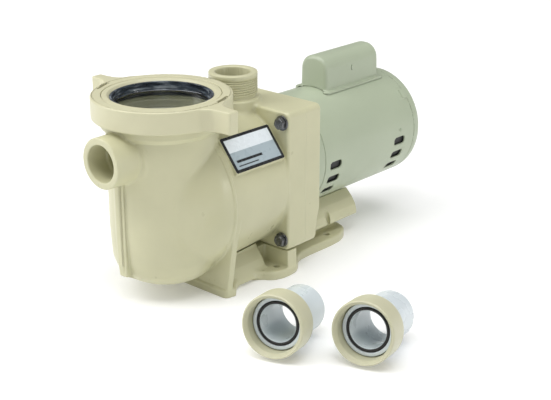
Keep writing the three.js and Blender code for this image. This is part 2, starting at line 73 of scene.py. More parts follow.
POT_X = (BASKET_LOW[0] + BASKET_HIGH[0]) / 2
SHAFT_Z = (SHELL_LOW[2] + SHELL_HIGH[2]) / 2
MOTOR_R = (SHELL_HIGH[2] - SHELL_LOW[2]) / 2
PORT_X, PORT_Z = span("suction_neck")[0][0], SHAFT_Z + 77
OUTLET_Z = span("discharge_neck")[1][2]
POT_R, POT_TOP, POT_BOTTOM = 84, 284, span("strainer_pot")[0][2]
DRUM_Z = SHAFT_Z - 7
RIDGE_X, RIDGE_R, DRUM_R = POT_X + 28.5, 121, 113
FLANGE_X, FLANGE_SPLIT = 3, span("volute_flange")[1][0]
FLANGE_END, FLANGE_HALF = PLATE_HIGH[0], PLATE_HIGH[1]
POT, PORT, SHAFT, DRUM_AXIS = (POT_X, 0), (0, PORT_Z), (0, SHAFT_Z), (0, DRUM_Z)
BOLT_Y, BOLT_Z = 99, 95
BOLTS = [(sy * BOLT_Y, SHAFT_Z + sz * BOLT_Z) for sy in (-1, 1) for sz in (-1, 1)]
DOME = [(66, -194), (84, -184.5), (99, -170.5), (110, -154), (117, -138), (RIDGE_R, RIDGE_X)]

# ---- distance fields ----


def polygon(u, v, points):
    """Signed distance from (u, v) to a closed outline."""
    d = np.full(u.shape, 1e18)
    inside = np.zeros(u.shape, bool)
    for (ax, ay), (bx, by) in zip(points, points[1:] + points[:1]):
        ex, ey = bx - ax, by - ay
        wx, wy = u - ax, v - ay
        t = np.clip((wx * ex + wy * ey) / (ex * ex + ey * ey + 1e-12), 0, 1)
        d = np.minimum(d, (wx - ex * t) ** 2 + (wy - ey * t) ** 2)
        if ay != by:
            inside ^= ((ay > v) != (by > v)) & (u < ax + (v - ay) * ex / ey)
    return np.where(inside, -1, 1) * np.sqrt(d)


def fillet(a, b, r):
    """Both shapes together, with a round corner of radius r where they meet."""
    return np.maximum(r, np.minimum(a, b)) - np.hypot(np.maximum(r - a, 0), np.maximum(r - b, 0))


def crop(a, b, r):
    """What is in both shapes, with an edge of radius r where they meet."""
    return np.minimum(-r, np.maximum(a, b)) + np.hypot(np.maximum(r + a, 0), np.maximum(r + b, 0))


def slab(h, low, high):
    """Between two planes, at coordinate h."""
    return np.maximum(low - h, h - high)


def block(P, low, high, r=0.0):
    """A box with rounded edges."""
    low, high = np.array(low, float), np.array(high, float)
    q = np.abs(P - (low + high) / 2) - (high - low) / 2 + r
    return np.linalg.norm(np.maximum(q, 0), axis=1) + np.minimum(q.max(axis=1), 0) - r


AXES = {"x": (0, 1, 2), "y": (1, 2, 0), "z": (2, 0, 1)}  # the axis itself, then the two others


def around(P, axis, centre):
    """(distance from the axis, height along it)"""
    h, a, b = AXES[axis]
    return np.hypot(P[:, a] - centre[0], P[:, b] - centre[1]), P[:, h]


def rod(P, axis, centre, radius, low, high, r=0.0):
    """A round bar along an axis, with its rims rounded."""
    d, h = around(P, axis, centre)
    return crop(d - radius, slab(h, low, high), r) if r else np.maximum(d - radius, slab(h, low, high))


def turned(P, axis, centre, profile):
    """A profile of (radius, height) points; points on the axis are carried past it."""
    d, h = around(P, axis, centre)
    return polygon(d, h, [(-60 if a == 0 else a, b) for a, b in profile])


def prism(P, axis, outline, low, high, r=0.0):
    """An outline in the two other coordinates, pushed along the axis."""
    h, a, b = AXES[axis]
    d = polygon(P[:, a], P[:, b], outline)
    return crop(d, slab(P[:, h], low, high), r)


def smooth(points, n=4):
    """Points on a Catmull-Rom curve through the given ones."""
    p = np.array(points, float)
    p = np.vstack([2 * p[0] - p[1], p, 2 * p[-1] - p[-2]])
    out = []
    for i in range(1, len(p) - 2):
        for k in range(n):
            t = k / n
            out.append(0.5 * (2 * p[i] + (p[i + 1] - p[i - 1]) * t
                              + (2 * p[i - 1] - 5 * p[i] + 4 * p[i + 1] - p[i + 2]) * t * t
                              + (3 * p[i] - p[i - 1] - 3 * p[i + 1] + p[i + 2]) * t ** 3))
    return [tuple(q) for q in out] + [tuple(p[-2])]


def rounded(points, radius, n=5, closed=True):
    """An outline with its corners rounded; radius is one number or one per corner."""
    radii = [radius] * len(points) if np.isscalar(radius) else radius
    out = []
    for i, (p, r) in enumerate(zip(points, radii)):
        if r <= 0 or (not closed and i in (0, len(points) - 1)):
            out.append(tuple(p))
            continue
        p = np.array(p, float)
        a = np.array(points[i - 1], float) - p
        b = np.array(points[(i + 1) % len(points)], float) - p
        la, lb = np.linalg.norm(a), np.linalg.norm(b)
        a, b = a / la, b / lb
        half = acos(max(-1, min(1, float(a @ b)))) / 2
        if half > pi / 2 - 0.02 or half < 0.02:
            out.append(tuple(p))
            continue
        t = min(r / tan(half), 0.48 * la, 0.48 * lb)
        r = t * tan(half)
        middle = p + (a + b) / np.linalg.norm(a + b) * r / sin(half)
        s, e = p + a * t - middle, p + b * t - middle
        turn = pi - 2 * half
        side = 1 if s[0] * e[1] - s[1] * e[0] > 0 else -1
        for k in range(n + 1):
            w = side * turn * k / n
            out.append((middle[0] + s[0] * cos(w) - s[1] * sin(w),
                        middle[1] + s[0] * sin(w) + s[1] * cos(w)))
    return out


def mirrored(points):
    """The points, then their mirror images across the second axis, back to the start."""
    return points + [(-a, b) for a, b in reversed(points)]


# ---- meshes ----

CELLS = 16  # grid cells along a block's side
BATCH = 60  # blocks worked out at once
REACH = CELLS * 0.87 + 2  # cells from a block's middle to its corner, and some to spare
STEEPEST = 1.42  # a field's slope inside two shapes that are cut or rounded together
MARGIN = 2.5  # cells of room round the given box
NEWTON_STEPS = 5
CORNERS = [(i, j, k) for i in (0, 1) for j in (0, 1) for k in (0, 1)]


def grid_values(field, low, h, counts):
    """The field at the grid's nodes, worked out only in the blocks that its surface can cross."""
    values = np.full([n + 1 for n in counts], np.inf, np.float32)
    starts = np.stack(np.meshgrid(*[np.arange(0, n, CELLS) for n in counts], indexing="ij"), -1)
    starts = starts.reshape(-1, 3)
    at = field(low + h * (starts + CELLS / 2))
    for s, d in zip(starts, at):
        e = s + CELLS + 1
        values[s[0]:e[0], s[1]:e[1], s[2]:e[2]] = np.where(d > 0, 1e3, -1e3)
    near = starts[np.where(at > 0, at, at / -STEEPEST) < h * REACH]
    offsets = np.stack(np.meshgrid(*[np.arange(CELLS + 1)] * 3, indexing="ij"), -1).reshape(-1, 3)
    for i in range(0, len(near), BATCH):
        nodes = near[i:i + BATCH, None, :] + offsets[None]
        d = field((low + h * nodes).reshape(-1, 3)).reshape(len(nodes), -1)
        for s, block_values in zip(near[i:i + BATCH], d):
            e = s + CELLS + 1
            values[s[0]:e[0], s[1]:e[1], s[2]:e[2]] = block_values.reshape([CELLS + 1] * 3)
    return values


def slope(field, P, e=0.05):
    """The field's gradient at the points."""
    g = np.empty_like(P)
    for k in range(3):
        step = np.zeros(3)
        step[k] = e
        g[:, k] = (field(P + step) - field(P - step)) / (2 * e)
    return g


def surface(field, low, high, h):
    """Quads on the field's zero surface, their corners moved onto it, and its normals there."""
    low, high = np.array(low, float) - MARGIN * h, np.array(high, float) + MARGIN * h
    counts = [int(ceil((b - a) / h / CELLS)) * CELLS for a, b in zip(low, high)]
    V = grid_values(field, low, h, counts)
    S = V < 0
    mixed = np.zeros(counts, bool)
    first = S[:-1, :-1, :-1]
    for i, j, k in CORNERS[1:]:
        mixed |= S[i:i + counts[0], j:j + counts[1], k:k + counts[2]] != first
    cells = np.argwhere(mixed)
    number = np.full(counts, -1, np.int32)
    number[tuple(cells.T)] = np.arange(len(cells))
    total, uses = np.zeros((len(cells), 3)), np.zeros(len(cells))
    for a in CORNERS:
        for axis in range(3):
            if a[axis]:
                continue
            b = tuple(x + (i == axis) for i, x in enumerate(a))
            va = V[tuple((cells + a).T)].astype(float)
            vb = V[tuple((cells + b).T)].astype(float)
            hit = (va < 0) != (vb < 0)
            t = np.where(hit, va / np.where(hit, va - vb, 1), 0)
            point = np.array(a, float) + t[:, None] * (np.array(b) - np.array(a))
            total += point * hit[:, None]
            uses += hit
    P = low + h * (cells + total / uses[:, None])
    quads = []
    for axis in range(3):
        o1, o2 = (axis + 1) % 3, (axis + 2) % 3
        e = np.argwhere(np.diff(S, axis=axis))
        e = e[(e[:, o1] > 0) & (e[:, o2] > 0) & (e[:, o1] < counts[o1]) & (e[:, o2] < counts[o2])]
        inward = S[tuple(e.T)]
        ring = []
        for da, db in ((-1, -1), (0, -1), (0, 0), (-1, 0)):
            c = e.copy()
            c[:, o1] += da
            c[:, o2] += db
            ring.append(number[tuple(c.T)])
        q = np.stack(ring, 1)
        q[~inward] = q[~inward][:, ::-1]
        quads.append(q)
    for _ in range(NEWTON_STEPS):
        g = slope(field, P)
        d = field(P)
        move = (d / np.maximum((g * g).sum(1), 0.2))[:, None] * g
        length = np.linalg.norm(move, axis=1, keepdims=True)
        P -= move * np.minimum(1, 0.5 * h / np.maximum(length, 1e-9))
    g = slope(field, P, 0.12)
    return P, np.vstack(quads), g / np.maximum(np.linalg.norm(g, axis=1, keepdims=True), 1e-9)


def new_mesh(name, points, faces, normals=None):
    """A smooth-shaded mesh from points in millimetres; faces are an array of quads or a list."""
    mesh = bpy.data.meshes.new(name)
    if isinstance(faces, np.ndarray):
        mesh.vertices.add(len(points))
        mesh.vertices.foreach_set("co", (np.asarray(points) / MM).ravel())
        mesh.loops.add(faces.size)
        mesh.loops.foreach_set("vertex_index", faces.ravel().astype(np.int32))
        mesh.polygons.add(len(faces))
        mesh.polygons.foreach_set("loop_start", np.arange(0, faces.size, faces.shape[1], dtype=np.int32))
        mesh.update(calc_edges=True)
    else:
        mesh.from_pydata((np.asarray(points) / MM).tolist(), [], faces)
    mesh.validate()
    mesh.polygons.foreach_set("use_smooth", np.ones(len(mesh.polygons), bool))
    if normals is not None:
        mesh.normals_split_custom_set_from_vertices(normals.tolist())
    mesh.update()
    return mesh


def linked(name, data):
    """An object with the given data, in the scene."""
    made = bpy.data.objects.new(name, data)
    bpy.context.scene.collection.objects.link(made)
    return made


def piece(name, mesh, body, slot, nodes=()):
    """A visible piece on a body, in a slot's finish; it stands for the given CAD nodes, or its namesake."""
    made = linked(name, mesh)
    mesh.materials.append(FINISH[slot])
    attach(made, body)
    nodes = nodes or [name] * (name in frame["nodes"])
    if nodes:
        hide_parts(*nodes)
    return made


def shaped(name, field, low, high, h, body, slot, nodes=()):
    """A piece from a distance field inside a box, on a grid of size h."""
    P, quads, normals = surface(field, low, high, h)
    return piece(name, new_mesh(name, P, quads, normals), body, slot, nodes)


def circle(r, h, n):
    turn = [2 * pi * k / n for k in range(n)]
    return [(r * cos(a), r * sin(a), h) for a in turn]


def lathe_mesh(name, profile, segments, place, sharp):
    """A closed profile of (radius, height) turned round local Z, then placed."""
    points, rows = [], []
    for r, h in profile:
        if r < 1e-6:
            rows.append([len(points)] * segments)
            points.append((0, 0, h))
        else:
            rows.append(list(range(len(points), len(points) + segments)))
            points += circle(r, h, segments)
    closed = profile[0][0] > 1e-6
    pairs = list(zip(rows, rows[1:])) + ([(rows[-1], rows[0])] if closed else [])
    faces = []
    for a, b in pairs:
        for k in range(segments):
            m = (k + 1) % segments
            f = [a[k], a[m], b[m], b[k]]
            f = [v for i, v in enumerate(f) if v != f[i - 1]]
            if len(f) > 2:
                faces.append(f)
    points = np.array([place @ Vector(p) for p in points])
    return solid_mesh(name, points, faces, sharp)


def band_faces(rows, n, closed=False):
    """Quads between rows of n points each; closed joins the last row to the first."""
    return [[i * n + k, i * n + (k + 1) % n, (i + 1) % rows * n + (k + 1) % n, (i + 1) % rows * n + k]
            for i in range(rows if closed else rows - 1) for k in range(n)]


def cap_faces(rows, n):
    """The two ends of such a band."""
    return [list(range(n))[::-1], list(range((rows - 1) * n, rows * n))]


def solid_mesh(name, points, faces, degrees):
    """A closed mesh, its faces turned out and its edges sharp past an angle."""
    mesh = new_mesh(name, points, faces)
    outward(mesh)
    mesh.set_sharp_from_angle(angle=radians(degrees))
    return mesh


def outward(mesh):
    """Turns the faces of a closed mesh so that they face out."""
    co = np.empty(len(mesh.vertices) * 3)
    mesh.vertices.foreach_get("co", co)
    co = co.reshape(-1, 3)
    mesh.calc_loop_triangles()
    tri = np.empty(len(mesh.loop_triangles) * 3, int)
    mesh.loop_triangles.foreach_get("vertices", tri)
    a, b, c = (co[tri.reshape(-1, 3)[:, i]] for i in range(3))
    if (a * np.cross(b, c)).sum() < 0:
        mesh.flip_normals()
        mesh.update()


def along(axis, x=0.0, y=0.0, z=0.0):
    """Places local Z along an axis from a point."""
    turn = {"x": Matrix.Rotation(pi / 2, 4, "Y"), "y": Matrix.Rotation(-pi / 2, 4, "X"),
            "z": Matrix.Identity(4)}[axis]
    return Matrix.Translation((x, y, z)) @ turn


def turned_piece(name, profile, body, slot, place, segments=96, sharp=35):
    """A piece from a profile turned round its axis."""
    return piece(name, lathe_mesh(name, profile, segments, place, sharp), body, slot)


# ---- materials ----


def colour(code):
    """A #rrggbb colour in linear light."""
    parts = [int(code[i:i + 2], 16) / 255 for i in (1, 3, 5)]
    return tuple(c / 12.92 if c <= 0.04045 else ((c + 0.055) / 1.055) ** 2.4 for c in parts)


def toned(base, gain, lift=0.0):
    """A lighter or darker version of a colour."""
    return tuple(min(1, c * gain + lift) for c in base) + (1,)


NOISE_ROUGHNESS = 0.55


class Nodes:
    """A material's nodes, with the calls that the finishes below share."""

    def __init__(self, name):
        self.material = bpy.data.materials.new(name)
        self.material.use_nodes = True
        self.tree = self.material.node_tree
        self.tree.nodes.clear()
        self.out = self.add("ShaderNodeOutputMaterial")

    def add(self, kind, **values):
        node = self.tree.nodes.new(kind)
        for k, v in values.items():
            setattr(node, k, v)
        return node

    def link(self, a, b):
        self.tree.links.new(a, b)

    def noise(self, scale, detail=3, stretch=None):
        where = self.add("ShaderNodeTexCoord").outputs["Object"]
        if stretch:
            mapping = self.add("ShaderNodeMapping")
            mapping.inputs["Scale"].default_value = stretch
            self.link(where, mapping.inputs["Vector"])
            where = mapping.outputs["Vector"]
        node = self.add("ShaderNodeTexNoise")
        node.inputs["Scale"].default_value = scale
        node.inputs["Detail"].default_value = detail
        node.inputs["Roughness"].default_value = NOISE_ROUGHNESS
        self.link(where, node.inputs["Vector"])
        return node.outputs["Fac"]

    def ramp(self, value, *stops):
        node = self.add("ShaderNodeValToRGB")
        elements = node.color_ramp.elements
        while len(elements) < len(stops):
            elements.new(0.5)
        for e, (at, c) in zip(elements, stops):
            e.position, e.color = at, c
        self.link(value, node.inputs["Fac"])
        return node.outputs["Color"]

    def spread(self, value, low, high, a=0.0, b=1.0):
        node = self.add("ShaderNodeMapRange")
        for key, v in (("From Min", a), ("From Max", b), ("To Min", low), ("To Max", high)):
            node.inputs[key].default_value = v
        self.link(value, node.inputs["Value"])
        return node.outputs["Result"]

    def math(self, operation, a, b=None, c=None):
        node = self.add("ShaderNodeMath", operation=operation)
        for socket, v in zip(node.inputs, (a, b, c)):
            if v is None:
                continue
            if isinstance(v, (int, float)):
                socket.default_value = v
            else:
                self.link(v, socket)
        return node.outputs["Value"]

    def mix(self, factor, a, b):
        node = self.add("ShaderNodeMix", data_type="RGBA")
        for socket, v in ((node.inputs[0], factor), (node.inputs[6], a), (node.inputs[7], b)):
            if isinstance(v, (int, float, tuple)):
                socket.default_value = v
            else:
                self.link(v, socket)
        return node.outputs[2]

    def bump(self, value, strength, distance, normal=None):
        node = self.add("ShaderNodeBump")
        node.inputs["Strength"].default_value = strength
        node.inputs["Distance"].default_value = distance
        self.link(value, node.inputs["Height"])
        if normal is not None:
            self.link(normal, node.inputs["Normal"])
        return node.outputs["Normal"]

    def shader(self, **values):
        node = self.add("ShaderNodeBsdfPrincipled")
        for k, v in values.items():
            socket = node.inputs[k.replace("_", " ")]
            if isinstance(v, (int, float, tuple)):
                socket.default_value = v
            else:
                self.link(v, socket)
        self.link(node.outputs["BSDF"], self.out.inputs["Surface"])
        return node


def moulded(name, code, rough=(0.27, 0.37), grain=0.12, tone=0.05, speck=0.08):
    """Moulded plastic: fine satin grain, slow flow marks in tone, paler rubbed edges."""
    n = Nodes(name)
    base = colour(code)
    flow = n.ramp(n.noise(9, 4), (0.3, toned(base, 1 - tone)), (0.7, toned(base, 1 + tone)))
    fleck = n.mix(n.spread(n.noise(420, 2), 0.0, speck, 0.62, 0.8), flow, toned(base, 0.72))
    edge = n.spread(n.add("ShaderNodeNewGeometry").outputs["Pointiness"], 0.0, 0.35, 0.52, 0.6)
    tint = n.mix(edge, fleck, toned(base, 1.12, 0.02))
    gloss = n.spread(n.noise(26, 4), rough[0], rough[1], 0.3, 0.7)
    fine = n.bump(n.noise(1500, 3), grain, 0.00012)
    wave = n.bump(n.noise(34, 2), 0.05, 0.0006, fine)
    n.shader(Base_Color=tint, Roughness=gloss, Normal=wave, Specular_IOR_Level=0.5)
    return n.material


def enamelled(name, code):
    """Sprayed enamel over sheet steel: orange peel, faint dust and chips of darker tone."""
    n = Nodes(name)
    base = colour(code)
    soft = n.ramp(n.noise(6, 3), (0.3, toned(base, 0.95)), (0.7, toned(base, 1.04)))
    dust = n.mix(n.spread(n.noise(240, 4), 0.0, 0.16, 0.6, 0.8), soft, toned(base, 0.7))
    peel = n.bump(n.noise(520, 2), 0.10, 0.00015)
    wave = n.bump(n.noise(22, 2), 0.06, 0.0008, peel)
    n.shader(Base_Color=dust, Roughness=n.spread(n.noise(40, 3), 0.30, 0.42, 0.3, 0.7), Normal=wave,
             Specular_IOR_Level=0.5, Coat_Weight=0.15, Coat_Roughness=0.18)
    return n.material


def metal(name, code, rough=(0.25, 0.45), metallic=1.0, brushed=(1, 1, 1)):
    """Bare metal: uneven tone and fine scratches, drawn out along an axis where it is brushed."""
    n = Nodes(name)
    base = colour(code)
    tint = n.ramp(n.noise(60, 4), (0.3, toned(base, 0.75)), (0.7, toned(base, 1)))
    scratch = n.noise(300, 3, stretch=brushed)
    n.shader(Base_Color=tint, Metallic=metallic, Roughness=n.spread(scratch, rough[0], rough[1], 0.3, 0.7),
             Normal=n.bump(scratch, 0.15, 0.0001))
    return n.material


def rubber(name, code):
    n = Nodes(name)
    base = colour(code)
    n.shader(Base_Color=n.ramp(n.noise(80, 3), (0.3, toned(base, 1)), (0.7, toned(base, 1.6))),
             Roughness=n.spread(n.noise(200, 2), 0.4, 0.6, 0.3, 0.7),
             Normal=n.bump(n.noise(900, 2), 0.15, 0.0001))
    return n.material


def clear(name):
    """Clear moulded lid: mostly see-through, glossy towards the edge of sight, faintly tinted."""
    n = Nodes(name)
    see = n.add("ShaderNodeBsdfTransparent")
    see.inputs["Color"].default_value = (0.95, 0.965, 0.97, 1)
    shine = n.add("ShaderNodeBsdfGlossy")
    n.link(n.bump(n.noise(30, 2), 0.04, 0.0006), shine.inputs["Normal"])
    n.link(n.spread(n.noise(90, 3), 0.03, 0.10, 0.3, 0.7), shine.inputs["Roughness"])
    facing = n.add("ShaderNodeLayerWeight")
    facing.inputs["Blend"].default_value = 0.5
    edge = n.math("MULTIPLY_ADD", n.math("POWER", facing.outputs["Facing"], 5.0), 0.9, 0.04)
    both = n.add("ShaderNodeMixShader")
    n.link(edge, both.inputs["Fac"])
    n.link(see.outputs["BSDF"], both.inputs[1])
    n.link(shine.outputs["BSDF"], both.inputs[2])
    n.link(both.outputs["Shader"], n.out.inputs["Surface"])
    return n.material


def painted_reflection_wall(name):
    """The lid's thick upright wall, in a painted reflection: opaque dark blue-grey with bright streaks standing
    for what the clear wall reflects and bends.
    """
    n = Nodes(name)
    # painted reflection: the streak noise lays dark blue-grey and bright grey bands into the base colour
    streak = n.noise(30, 3, stretch=(1, 1, 6))
    tint = n.ramp(streak, (0.40, (0.012, 0.016, 0.024, 1)), (0.55, (0.05, 0.065, 0.085, 1)),
                  (0.72, (0.30, 0.34, 0.38, 1)))
    n.shader(Base_Color=tint, Roughness=n.spread(streak, 0.08, 0.22, 0.3, 0.7), Specular_IOR_Level=0.8,
             Normal=n.bump(streak, 0.1, 0.0008))
    return n.material


def plate_film(name):
    """The name plate's film: dark border, pale field over a plain grey-blue band, two plain bars."""
    n = Nodes(name)
    uv = n.add("ShaderNodeSeparateXYZ")
    n.link(n.add("ShaderNodeTexCoord").outputs["UV"], uv.inputs["Vector"])
    u, v = uv.outputs["X"], uv.outputs["Y"]

    def under(value, limit):
        return n.spread(value, 1.0, 0.0, limit - 0.006, limit + 0.006)

    def bar(u0, u1, v0, v1):
        across = n.math("MULTIPLY", under(u, u1), n.math("SUBTRACT", 1.0, under(u, u0)))
        upward = n.math("MULTIPLY", under(v, v1), n.math("SUBTRACT", 1.0, under(v, v0)))
        return n.math("MULTIPLY", across, upward)

    face = n.mix(under(v, 0.56), (0.78, 0.84, 0.88, 1), (0.40, 0.48, 0.52, 1))
    ink = (0.012, 0.013, 0.015, 1)
    for limits in ((0.10, 0.62, 0.26, 0.33), (0.10, 0.50, 0.15, 0.18)):
        face = n.mix(bar(*limits), face, ink)
    side = n.math("MINIMUM", n.math("MULTIPLY", n.math("MINIMUM", u, n.math("SUBTRACT", 1.0, u)), 1.75),
                  n.math("MINIMUM", v, n.math("SUBTRACT", 1.0, v)))
    face = n.mix(under(side, 0.082), face, ink)
    grain = n.mix(n.spread(n.noise(300, 2), 0.0, 0.05), face, (0.4, 0.42, 0.44, 1))
    n.shader(Base_Color=grain, Roughness=n.spread(n.noise(60, 2), 0.22, 0.34, 0.3, 0.7),
             Normal=n.bump(n.noise(200, 2), 0.05, 0.0002), Specular_IOR_Level=0.5)
    return n.material


FINISH = {
    "almond_plastic": moulded("almond_plastic", "#c8c6a4"),
    "clamp_plastic": moulded("clamp_plastic", "#cbc8a8", rough=(0.30, 0.42)),
    "olive_plastic": moulded("olive_plastic", "#c7c5a8", rough=(0.28, 0.40)),
    "basket_plastic": moulded("basket_plastic", "#d2d0b8", rough=(0.4, 0.5)),
    "white_pvc": moulded("white_pvc", "#d3dce0", rough=(0.26, 0.30), grain=0.02, tone=0.01, speck=0.0),
    "black_plastic": moulded("black_plastic", "#151617", rough=(0.4, 0.55), tone=0.15),
    "ring_plastic": moulded("ring_plastic", "#8d8f8c"),
    "ceramic": moulded("ceramic", "#e8e4da", rough=(0.15, 0.25), grain=0.02),
    "motor_enamel": enamelled("motor_enamel", "#aeb8a0"),
    "bright_steel": metal("bright_steel", "#a8a9a6"),
    "dark_steel": metal("dark_steel", "#77787a", rough=(0.22, 0.4), metallic=0.9),
    "lamination_steel": metal("lamination_steel", "#6f6f70", rough=(0.4, 0.6), brushed=(40, 1, 1)),
    "capacitor_can": metal("capacitor_can", "#9ea3a3", rough=(0.3, 0.4)),
    "black_rubber": rubber("black_rubber", "#151515"),
    "clear_lid": clear("clear_lid"),
    "plate_film": plate_film("plate_film"),
}
FINISH["bell_enamel"] = FINISH["motor_enamel"]
# the lid wall's finish is a painted reflection, dark blue-grey with bright streaks
LID_WALL_PAINTED_REFLECTION = painted_reflection_wall("clear_lid_wall_painted_reflection")

# ---- casing ----

POT_OUT = [(0, POT_BOTTOM)] + rounded(
    [(30, POT_BOTTOM), (50, POT_BOTTOM), (64, 34), (75.5, 45.5), (81.5, 64), (POT_R, 110), (POT_R, 252)],
    [0, 26, 26, 26, 40, 60, 0], closed=False) + [(POT_R, 257), (91.5, 265), (91.5, POT_TOP), (0, POT_TOP)]
POT_IN = [(0, 38), (50, 38), (62, 43), (70, 52), (74.5, 76), (77, 190), (77, POT_TOP + 2), (0, POT_TOP + 2)]
DRUM = ([(0, DOME[0][1])] + smooth(DOME[:-1] + [(RIDGE_R - 1.4, RIDGE_X - 1)], 5)
        + [(DRUM_R, FLANGE_X + 1), (0, FLANGE_X + 1)])
BEAD = rounded([(100, RIDGE_X - 2.6), (RIDGE_R, RIDGE_X - 2.6),
                (RIDGE_R, RIDGE_X + 2.6), (100, RIDGE_X + 2.6)], [0, 1.2, 1.2, 0])
APRON = mirrored([(-117.1, DRUM_Z - 18.1), (-99, 12)])
FLANGE_OUTLINE = rounded([(-FLANGE_HALF, SHAFT_Z - FLANGE_HALF), (FLANGE_HALF, SHAFT_Z - FLANGE_HALF),
                          (FLANGE_HALF, SHAFT_Z + FLANGE_HALF), (-FLANGE_HALF, SHAFT_Z + FLANGE_HALF)], 9)
# a drain boss's x and z, and its y from root to face
DRAINS = {"drain_plug_pot": (POT_X, 52, 40, 86), "drain_plug_volute": (-60, 96, 80, 112)}
BOSS_R, BOSS_COLLAR_R, NECK_R, NECK_COLLAR_R = 38, 44, 35.6, 42
DRAIN_BOSS_R, DRAIN_HOLE_R, BOLT_POCKET_R, BOLT_HOLE_R = 13, 8.3, 14.5, 6
CHAMBER_R, OUTLET_BORE_R, EYE_R = 100, 27, 31
LABEL_X, LABEL_OUT, LABEL_W, LABEL_H = -57.0, 120.6, 105.5, 57.2
LABEL_LEAN, LABEL_YAW = radians(38.7), radians(-1.0)


def label_frame():
    """Columns: along the plate, up it, out of it, and its middle."""
    out = np.array([0, -cos(LABEL_LEAN), sin(LABEL_LEAN)])
    up = np.array([0, sin(LABEL_LEAN), cos(LABEL_LEAN)])
    side = np.array([1, 0, 0]) * cos(LABEL_YAW) + out * sin(LABEL_YAW)
    middle = np.array([LABEL_X, 0, DRUM_Z]) + out * LABEL_OUT
    return side, up, np.cross(side, up), middle


def casing(P):
    y = P[:, 1]
    pot = turned(P, "z", POT, POT_OUT)
    rib = block(P, (POT_X - POT_R - 3, -6, 46), (POT_X - 60, 9, PORT_Z - 20), 1.2)
    body = fillet(pot, rib, np.where(y < 0, 1.5, 15.0))
    drum = fillet(turned(P, "x", DRUM_AXIS, DRUM), turned(P, "x", DRUM_AXIS, BEAD), 1.5)
    side, up, out, middle = label_frame()
    T = np.stack([(P - middle) @ side, (P - middle) @ up, (P - middle) @ out], 1)
    pad = block(T, (-LABEL_W / 2 - 1, -LABEL_H / 2 - 1, -22), (LABEL_W / 2 + 1, LABEL_H / 2 + 1, -0.5), 1.2)
    drum = fillet(drum, pad, 0.8)
    drum = fillet(drum, prism(P, "x", APRON, RIDGE_X + 1, RIDGE_X + 12.5, 1.2), 2.5)
    body = fillet(body, drum, 3)
    boss = fillet(rod(P, "x", PORT, BOSS_R, PORT_X, POT_X, 2),
                  rod(P, "x", PORT, BOSS_COLLAR_R, PORT_X + 45, POT_X, 4), 2.5)
    body = fillet(body, boss, 4)
    flange = crop(polygon(y, P[:, 2], FLANGE_OUTLINE), slab(P[:, 0], FLANGE_X, FLANGE_SPLIT + 20), 4.5)
    body = fillet(body, flange, 4)
    neck = fillet(rod(P, "z", (0, 0), NECK_COLLAR_R, SHAFT_Z, OUTLET_Z - 39, 3),
                  rod(P, "z", (0, 0), NECK_R, SHAFT_Z, OUTLET_Z - 1), 2)
    body = fillet(body, neck, 6)
    for x, z, root, face in DRAINS.values():
        body = fillet(body, rod(P, "y", (z, x), DRAIN_BOSS_R, root, face, 1.5), 4)
    for at in BOLTS:
        body = crop(body, -rod(P, "x", at, BOLT_POCKET_R, FLANGE_X - 40, FLANGE_X, 2), 1.5)
        body = np.maximum(body, -rod(P, "x", at, BOLT_HOLE_R, -40, 60))
    return np.maximum(crop(body, -casing_room(P), 1.0), P[:, 0] - FLANGE_SPLIT)


def casing_room(P):
    """The pot's inside, the volute chamber, the water ways and the drain holes."""
    pot = turned(P, "z", POT, POT_IN)
    chamber = np.maximum(rod(P, "x", SHAFT, CHAMBER_R, -112, FLANGE_SPLIT + 2),
                         -rod(P, "z", POT, POT_R, 0, 300))
    port = turned(P, "x", PORT, [(0, PORT_X - 2), (30, PORT_X - 2), (27.6, PORT_X + 1.2), (27.2, PORT_X + 34),
                                 (25.6, PORT_X + 36), (25.6, POT_X - 40), (0, POT_X - 40)])
    outlet = rod(P, "z", (0, 0), OUTLET_BORE_R, 235, OUTLET_Z + 2)
    eye = rod(P, "x", SHAFT, EYE_R, -110, -50)
    room = np.minimum.reduce([pot, chamber, port, outlet, eye])
    for x, z, *_ in DRAINS.values():
        room = np.minimum(room, rod(P, "y", (z, x), DRAIN_HOLE_R, 50, 130))
    return room


shaped("casing", casing, (PORT_X, -RIDGE_R, 10), (FLANGE_SPLIT + 1, RIDGE_R, OUTLET_Z), 1.8,
       "pump", "almond_plastic", CASING)

STEPS_PER_TURN = 10


def thread_mesh(name, r0, r1, low, high, pitch, bore, lip):
    """A port's end sleeve: a round rim above a rolled screw thread, closed inside by its bore."""
    segments, top, points = 120, high - lip, []
    steps = int((high - lip - low) / pitch * STEPS_PER_TURN)
    for i in range(steps + 1):
        h = low + (high - lip - low) * i / steps
        fade = max(0, min(1, (h - low) / (0.6 * pitch), (high - lip - h) / (0.3 * pitch) + 0.2))
        for k in range(segments):
            phase = (h / pitch - k / segments) % 1
            tooth = max(0.0, min(1.0, 1.6 - abs(phase - 0.5) * 4.4))
            a, r = 2 * pi * k / segments, r0 + (r1 - r0) * tooth * fade
            points.append((r * cos(a), r * sin(a), h))
    rest = [(r1 - 0.8, top + 0.2), (r1, top + 1), (r1, high - 1.6), (r1 - 0.5, high - 0.5), (r1 - 1.6, high),
            (bore + 2.2, high), (bore + 0.8, high - 0.6), (bore, high - 2), (bore, low)]
    for r, h in rest:
        points += circle(r, h, segments)
    return solid_mesh(name, points, band_faces(steps + 1 + len(rest), segments, closed=True), 50)


piece("discharge_thread", thread_mesh("discharge_thread", 36.0, 38.0, OUTLET_Z - 35, OUTLET_Z,
                                      3.6, OUTLET_BORE_R, 8.5), "pump", "almond_plastic")

# ---- motor bracket and foot ----


